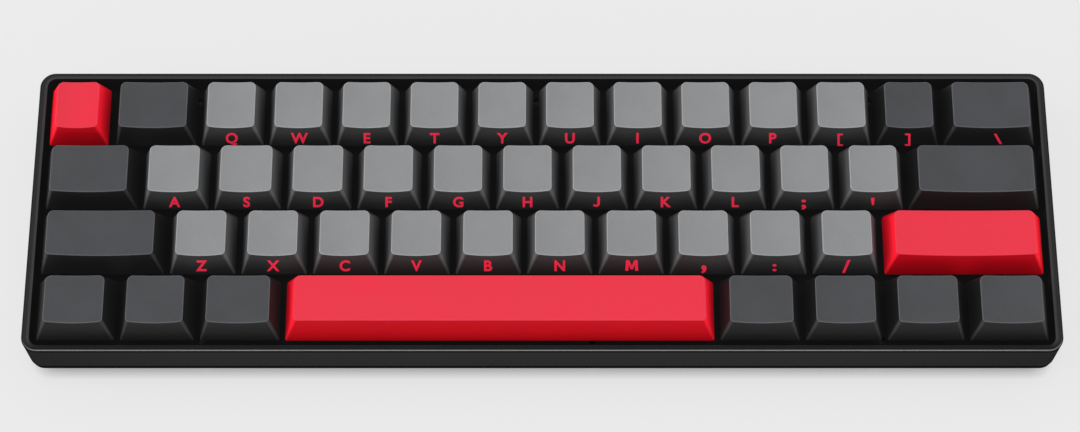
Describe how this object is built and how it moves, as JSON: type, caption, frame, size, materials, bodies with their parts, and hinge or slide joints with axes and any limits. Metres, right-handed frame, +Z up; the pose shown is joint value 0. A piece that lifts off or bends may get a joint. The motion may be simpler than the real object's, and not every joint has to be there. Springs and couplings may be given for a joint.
{
  "type": "gaming keyboard",
  "caption": "Compact gaming keyboard: a slim dark case with four rows of two-tone mechanical keys that travel down and spring back, and stabilised wide keys",
  "frame": {"origin": "on the table under the middle of the case", "axes": "+X to the typist's right, +Y away from the typist, +Z up"},
  "size_m": [0.2806, 0.0822, 0.0277],
  "materials": {
    "case": "satin black",
    "plate": "matt black",
    "board": "lacquered",
    "steel": "plain",
    "rubber": "matt",
    "switch": "matt",
    "cap_light": "fine grain",
    "cap_slate": "fine grain",
    "cap_red": "fine grain"
  },
  "bodies": {
    "case": {"case_base": "case", "case_frame": "case", "switch_plate": "plate", "circuit_board": "board", "usb_socket": "steel", "rubber_feet": "rubber", "case_screws": "steel", "switch_housings": "switch", "stabiliser_housings": "switch"},
    "key_escape_body": {"key_escape": "cap_red"},
    "key_tab_body": {"key_tab": "cap_slate"},
    "key_q_body": {"key_q": "cap_light"},
    "key_w_body": {"key_w": "cap_light"},
    "key_e_body": {"key_e": "cap_light"},
    "key_t_body": {"key_t": "cap_light"},
    "key_y_body": {"key_y": "cap_light"},
    "key_u_body": {"key_u": "cap_light"},
    "key_i_body": {"key_i": "cap_light"},
    "key_o_body": {"key_o": "cap_light"},
    "key_p_body": {"key_p": "cap_light"},
    "key_bracket_left_body": {"key_bracket_left": "cap_light"},
    "key_bracket_right_body": {"key_bracket_right": "cap_slate"},
    "key_backslash_body": {"key_backslash": "cap_slate"},
    "key_caps_body": {"key_caps": "cap_slate"},
    "key_a_body": {"key_a": "cap_light"},
    "key_s_body": {"key_s": "cap_light"},
    "key_d_body": {"key_d": "cap_light"},
    "key_f_body": {"key_f": "cap_light"},
    "key_g_body": {"key_g": "cap_light"},
    "key_h_body": {"key_h": "cap_light"},
    "key_j_body": {"key_j": "cap_light"},
    "key_k_body": {"key_k": "cap_light"},
    "key_l_body": {"key_l": "cap_light"},
    "key_semicolon_body": {"key_semicolon": "cap_light"},
    "key_quote_body": {"key_quote": "cap_light"},
    "key_enter_body": {"key_enter": "cap_slate"},
    "key_shift_left_body": {"key_shift_left": "cap_slate"},
    "key_z_body": {"key_z": "cap_light"},
    "key_x_body": {"key_x": "cap_light"},
    "key_c_body": {"key_c": "cap_light"},
    "key_v_body": {"key_v": "cap_light"},
    "key_b_body": {"key_b": "cap_light"},
    "key_n_body": {"key_n": "cap_light"},
    "key_m_body": {"key_m": "cap_light"},
    "key_comma_body": {"key_comma": "cap_light"},
    "key_period_body": {"key_period": "cap_light"},
    "key_slash_body": {"key_slash": "cap_light"},
    "key_shift_right_body": {"key_shift_right": "cap_red"},
    "key_control_left_body": {"key_control_left": "cap_slate"},
    "key_super_left_body": {"key_super_left": "cap_slate"},
    "key_alt_left_body": {"key_alt_left": "cap_slate"},
    "key_space_body": {"key_space": "cap_red"},
    "key_alt_right_body": {"key_alt_right": "cap_slate"},
    "key_function_body": {"key_function": "cap_slate"},
    "key_menu_body": {"key_menu": "cap_slate"},
    "key_control_right_body": {"key_control_right": "cap_slate"},
    "wire_enter_body": {"stabiliser_wire_enter": "steel"},
    "wire_shift_left_body": {"stabiliser_wire_shift_left": "steel"},
    "wire_shift_right_body": {"stabiliser_wire_shift_right": "steel"},
    "wire_space_body": {"stabiliser_wire_space": "steel"}
  },
  "joints": [
    {"name": "press_escape", "type": "slide", "parent": "case", "child": "key_escape_body", "axis": [0, 0, -1], "range_m": [0, 0.004], "stiffness_N_per_m": 75, "springref_m": -0.004},
    {"name": "press_tab", "type": "slide", "parent": "case", "child": "key_tab_body", "axis": [0, 0, -1], "range_m": [0, 0.004], "stiffness_N_per_m": 75, "springref_m": -0.004},
    {"name": "press_q", "type": "slide", "parent": "case", "child": "key_q_body", "axis": [0, 0, -1], "range_m": [0, 0.004], "stiffness_N_per_m": 75, "springref_m": -0.004},
    {"name": "press_w", "type": "slide", "parent": "case", "child": "key_w_body", "axis": [0, 0, -1], "range_m": [0, 0.004], "stiffness_N_per_m": 75, "springref_m": -0.004},
    {"name": "press_e", "type": "slide", "parent": "case", "child": "key_e_body", "axis": [0, 0, -1], "range_m": [0, 0.004], "stiffness_N_per_m": 75, "springref_m": -0.004},
    {"name": "press_t", "type": "slide", "parent": "case", "child": "key_t_body", "axis": [0, 0, -1], "range_m": [0, 0.004], "stiffness_N_per_m": 75, "springref_m": -0.004},
    {"name": "press_y", "type": "slide", "parent": "case", "child": "key_y_body", "axis": [0, 0, -1], "range_m": [0, 0.004], "stiffness_N_per_m": 75, "springref_m": -0.004},
    {"name": "press_u", "type": "slide", "parent": "case", "child": "key_u_body", "axis": [0, 0, -1], "range_m": [0, 0.004], "stiffness_N_per_m": 75, "springref_m": -0.004},
    {"name": "press_i", "type": "slide", "parent": "case", "child": "key_i_body", "axis": [0, 0, -1], "range_m": [0, 0.004], "stiffness_N_per_m": 75, "springref_m": -0.004},
    {"name": "press_o", "type": "slide", "parent": "case", "child": "key_o_body", "axis": [0, 0, -1], "range_m": [0, 0.004], "stiffness_N_per_m": 75, "springref_m": -0.004},
    {"name": "press_p", "type": "slide", "parent": "case", "child": "key_p_body", "axis": [0, 0, -1], "range_m": [0, 0.004], "stiffness_N_per_m": 75, "springref_m": -0.004},
    {"name": "press_bracket_left", "type": "slide", "parent": "case", "child": "key_bracket_left_body", "axis": [0, 0, -1], "range_m": [0, 0.004], "stiffness_N_per_m": 75, "springref_m": -0.004},
    {"name": "press_bracket_right", "type": "slide", "parent": "case", "child": "key_bracket_right_body", "axis": [0, 0, -1], "range_m": [0, 0.004], "stiffness_N_per_m": 75, "springref_m": -0.004},
    {"name": "press_backslash", "type": "slide", "parent": "case", "child": "key_backslash_body", "axis": [0, 0, -1], "range_m": [0, 0.004], "stiffness_N_per_m": 75, "springref_m": -0.004},
    {"name": "press_caps", "type": "slide", "parent": "case", "child": "key_caps_body", "axis": [0, 0, -1], "range_m": [0, 0.004], "stiffness_N_per_m": 75, "springref_m": -0.004},
    {"name": "press_a", "type": "slide", "parent": "case", "child": "key_a_body", "axis": [0, 0, -1], "range_m": [0, 0.004], "stiffness_N_per_m": 75, "springref_m": -0.004},
    {"name": "press_s", "type": "slide", "parent": "case", "child": "key_s_body", "axis": [0, 0, -1], "range_m": [0, 0.004], "stiffness_N_per_m": 75, "springref_m": -0.004},
    {"name": "press_d", "type": "slide", "parent": "case", "child": "key_d_body", "axis": [0, 0, -1], "range_m": [0, 0.004], "stiffness_N_per_m": 75, "springref_m": -0.004},
    {"name": "press_f", "type": "slide", "parent": "case", "child": "key_f_body", "axis": [0, 0, -1], "range_m": [0, 0.004], "stiffness_N_per_m": 75, "springref_m": -0.004},
    {"name": "press_g", "type": "slide", "parent": "case", "child": "key_g_body", "axis": [0, 0, -1], "range_m": [0, 0.004], "stiffness_N_per_m": 75, "springref_m": -0.004},
    {"name": "press_h", "type": "slide", "parent": "case", "child": "key_h_body", "axis": [0, 0, -1], "range_m": [0, 0.004], "stiffness_N_per_m": 75, "springref_m": -0.004},
    {"name": "press_j", "type": "slide", "parent": "case", "child": "key_j_body", "axis": [0, 0, -1], "range_m": [0, 0.004], "stiffness_N_per_m": 75, "springref_m": -0.004},
    {"name": "press_k", "type": "slide", "parent": "case", "child": "key_k_body", "axis": [0, 0, -1], "range_m": [0, 0.004], "stiffness_N_per_m": 75, "springref_m": -0.004},
    {"name": "press_l", "type": "slide", "parent": "case", "child": "key_l_body", "axis": [0, 0, -1], "range_m": [0, 0.004], "stiffness_N_per_m": 75, "springref_m": -0.004},
    {"name": "press_semicolon", "type": "slide", "parent": "case", "child": "key_semicolon_body", "axis": [0, 0, -1], "range_m": [0, 0.004], "stiffness_N_per_m": 75, "springref_m": -0.004},
    {"name": "press_quote", "type": "slide", "parent": "case", "child": "key_quote_body", "axis": [0, 0, -1], "range_m": [0, 0.004], "stiffness_N_per_m": 75, "springref_m": -0.004},
    {"name": "press_enter", "type": "slide", "parent": "case", "child": "key_enter_body", "axis": [0, 0, -1], "range_m": [0, 0.004], "stiffness_N_per_m": 75, "springref_m": -0.004},
    {"name": "press_shift_left", "type": "slide", "parent": "case", "child": "key_shift_left_body", "axis": [0, 0, -1], "range_m": [0, 0.004], "stiffness_N_per_m": 75, "springref_m": -0.004},
    {"name": "press_z", "type": "slide", "parent": "case", "child": "key_z_body", "axis": [0, 0, -1], "range_m": [0, 0.004], "stiffness_N_per_m": 75, "springref_m": -0.004},
    {"name": "press_x", "type": "slide", "parent": "case", "child": "key_x_body", "axis": [0, 0, -1], "range_m": [0, 0.004], "stiffness_N_per_m": 75, "springref_m": -0.004},
    {"name": "press_c", "type": "slide", "parent": "case", "child": "key_c_body", "axis": [0, 0, -1], "range_m": [0, 0.004], "stiffness_N_per_m": 75, "springref_m": -0.004},
    {"name": "press_v", "type": "slide", "parent": "case", "child": "key_v_body", "axis": [0, 0, -1], "range_m": [0, 0.004], "stiffness_N_per_m": 75, "springref_m": -0.004},
    {"name": "press_b", "type": "slide", "parent": "case", "child": "key_b_body", "axis": [0, 0, -1], "range_m": [0, 0.004], "stiffness_N_per_m": 75, "springref_m": -0.004},
    {"name": "press_n", "type": "slide", "parent": "case", "child": "key_n_body", "axis": [0, 0, -1], "range_m": [0, 0.004], "stiffness_N_per_m": 75, "springref_m": -0.004},
    {"name": "press_m", "type": "slide", "parent": "case", "child": "key_m_body", "axis": [0, 0, -1], "range_m": [0, 0.004], "stiffness_N_per_m": 75, "springref_m": -0.004},
    {"name": "press_comma", "type": "slide", "parent": "case", "child": "key_comma_body", "axis": [0, 0, -1], "range_m": [0, 0.004], "stiffness_N_per_m": 75, "springref_m": -0.004},
    {"name": "press_period", "type": "slide", "parent": "case", "child": "key_period_body", "axis": [0, 0, -1], "range_m": [0, 0.004], "stiffness_N_per_m": 75, "springref_m": -0.004},
    {"name": "press_slash", "type": "slide", "parent": "case", "child": "key_slash_body", "axis": [0, 0, -1], "range_m": [0, 0.004], "stiffness_N_per_m": 75, "springref_m": -0.004},
    {"name": "press_shift_right", "type": "slide", "parent": "case", "child": "key_shift_right_body", "axis": [0, 0, -1], "range_m": [0, 0.004], "stiffness_N_per_m": 75, "springref_m": -0.004},
    {"name": "press_control_left", "type": "slide", "parent": "case", "child": "key_control_left_body", "axis": [0, 0, -1], "range_m": [0, 0.004], "stiffness_N_per_m": 75, "springref_m": -0.004},
    {"name": "press_super_left", "type": "slide", "parent": "case", "child": "key_super_left_body", "axis": [0, 0, -1], "range_m": [0, 0.004], "stiffness_N_per_m": 75, "springref_m": -0.004},
    {"name": "press_alt_left", "type": "slide", "parent": "case", "child": "key_alt_left_body", "axis": [0, 0, -1], "range_m": [0, 0.004], "stiffness_N_per_m": 75, "springref_m": -0.004},
    {"name": "press_space", "type": "slide", "parent": "case", "child": "key_space_body", "axis": [0, 0, -1], "range_m": [0, 0.004], "stiffness_N_per_m": 75, "springref_m": -0.004},
    {"name": "press_alt_right", "type": "slide", "parent": "case", "child": "key_alt_right_body", "axis": [0, 0, -1], "range_m": [0, 0.004], "stiffness_N_per_m": 75, "springref_m": -0.004},
    {"name": "press_function", "type": "slide", "parent": "case", "child": "key_function_body", "axis": [0, 0, -1], "range_m": [0, 0.004], "stiffness_N_per_m": 75, "springref_m": -0.004},
    {"name": "press_menu", "type": "slide", "parent": "case", "child": "key_menu_body", "axis": [0, 0, -1], "range_m": [0, 0.004], "stiffness_N_per_m": 75, "springref_m": -0.004},
    {"name": "press_control_right", "type": "slide", "parent": "case", "child": "key_control_right_body", "axis": [0, 0, -1], "range_m": [0, 0.004], "stiffness_N_per_m": 75, "springref_m": -0.004},
    {"name": "turn_wire_enter", "type": "hinge", "parent": "case", "child": "wire_enter_body", "pos_m": [0.11862, 0.00028, 0.0123], "axis": [-1, 0, 0], "range_deg": [0, 26.1]},
    {"name": "turn_wire_shift_left", "type": "hinge", "parent": "case", "child": "wire_shift_left_body", "pos_m": [-0.11971, -0.01877, 0.0123], "axis": [-1, 0, 0], "range_deg": [0, 26.1]},
    {"name": "turn_wire_shift_right", "type": "hinge", "parent": "case", "child": "wire_shift_right_body", "pos_m": [0.11476, -0.01877, 0.0123], "axis": [-1, 0, 0], "range_deg": [0, 26.1]},
    {"name": "turn_wire_space", "type": "hinge", "parent": "case", "child": "wire_space_body", "pos_m": [-0.01143, -0.01934, 0.0123], "axis": [1, 0, 0], "range_deg": [0, 26.1]}
  ],
  "couplings": [
    {"joint": "turn_wire_enter", "follows": "press_enter", "rad_per_m": 113.87},
    {"joint": "turn_wire_shift_left", "follows": "press_shift_left", "rad_per_m": 113.87},
    {"joint": "turn_wire_shift_right", "follows": "press_shift_right", "rad_per_m": 113.87},
    {"joint": "turn_wire_space", "follows": "press_space", "rad_per_m": 113.87}
  ]
}
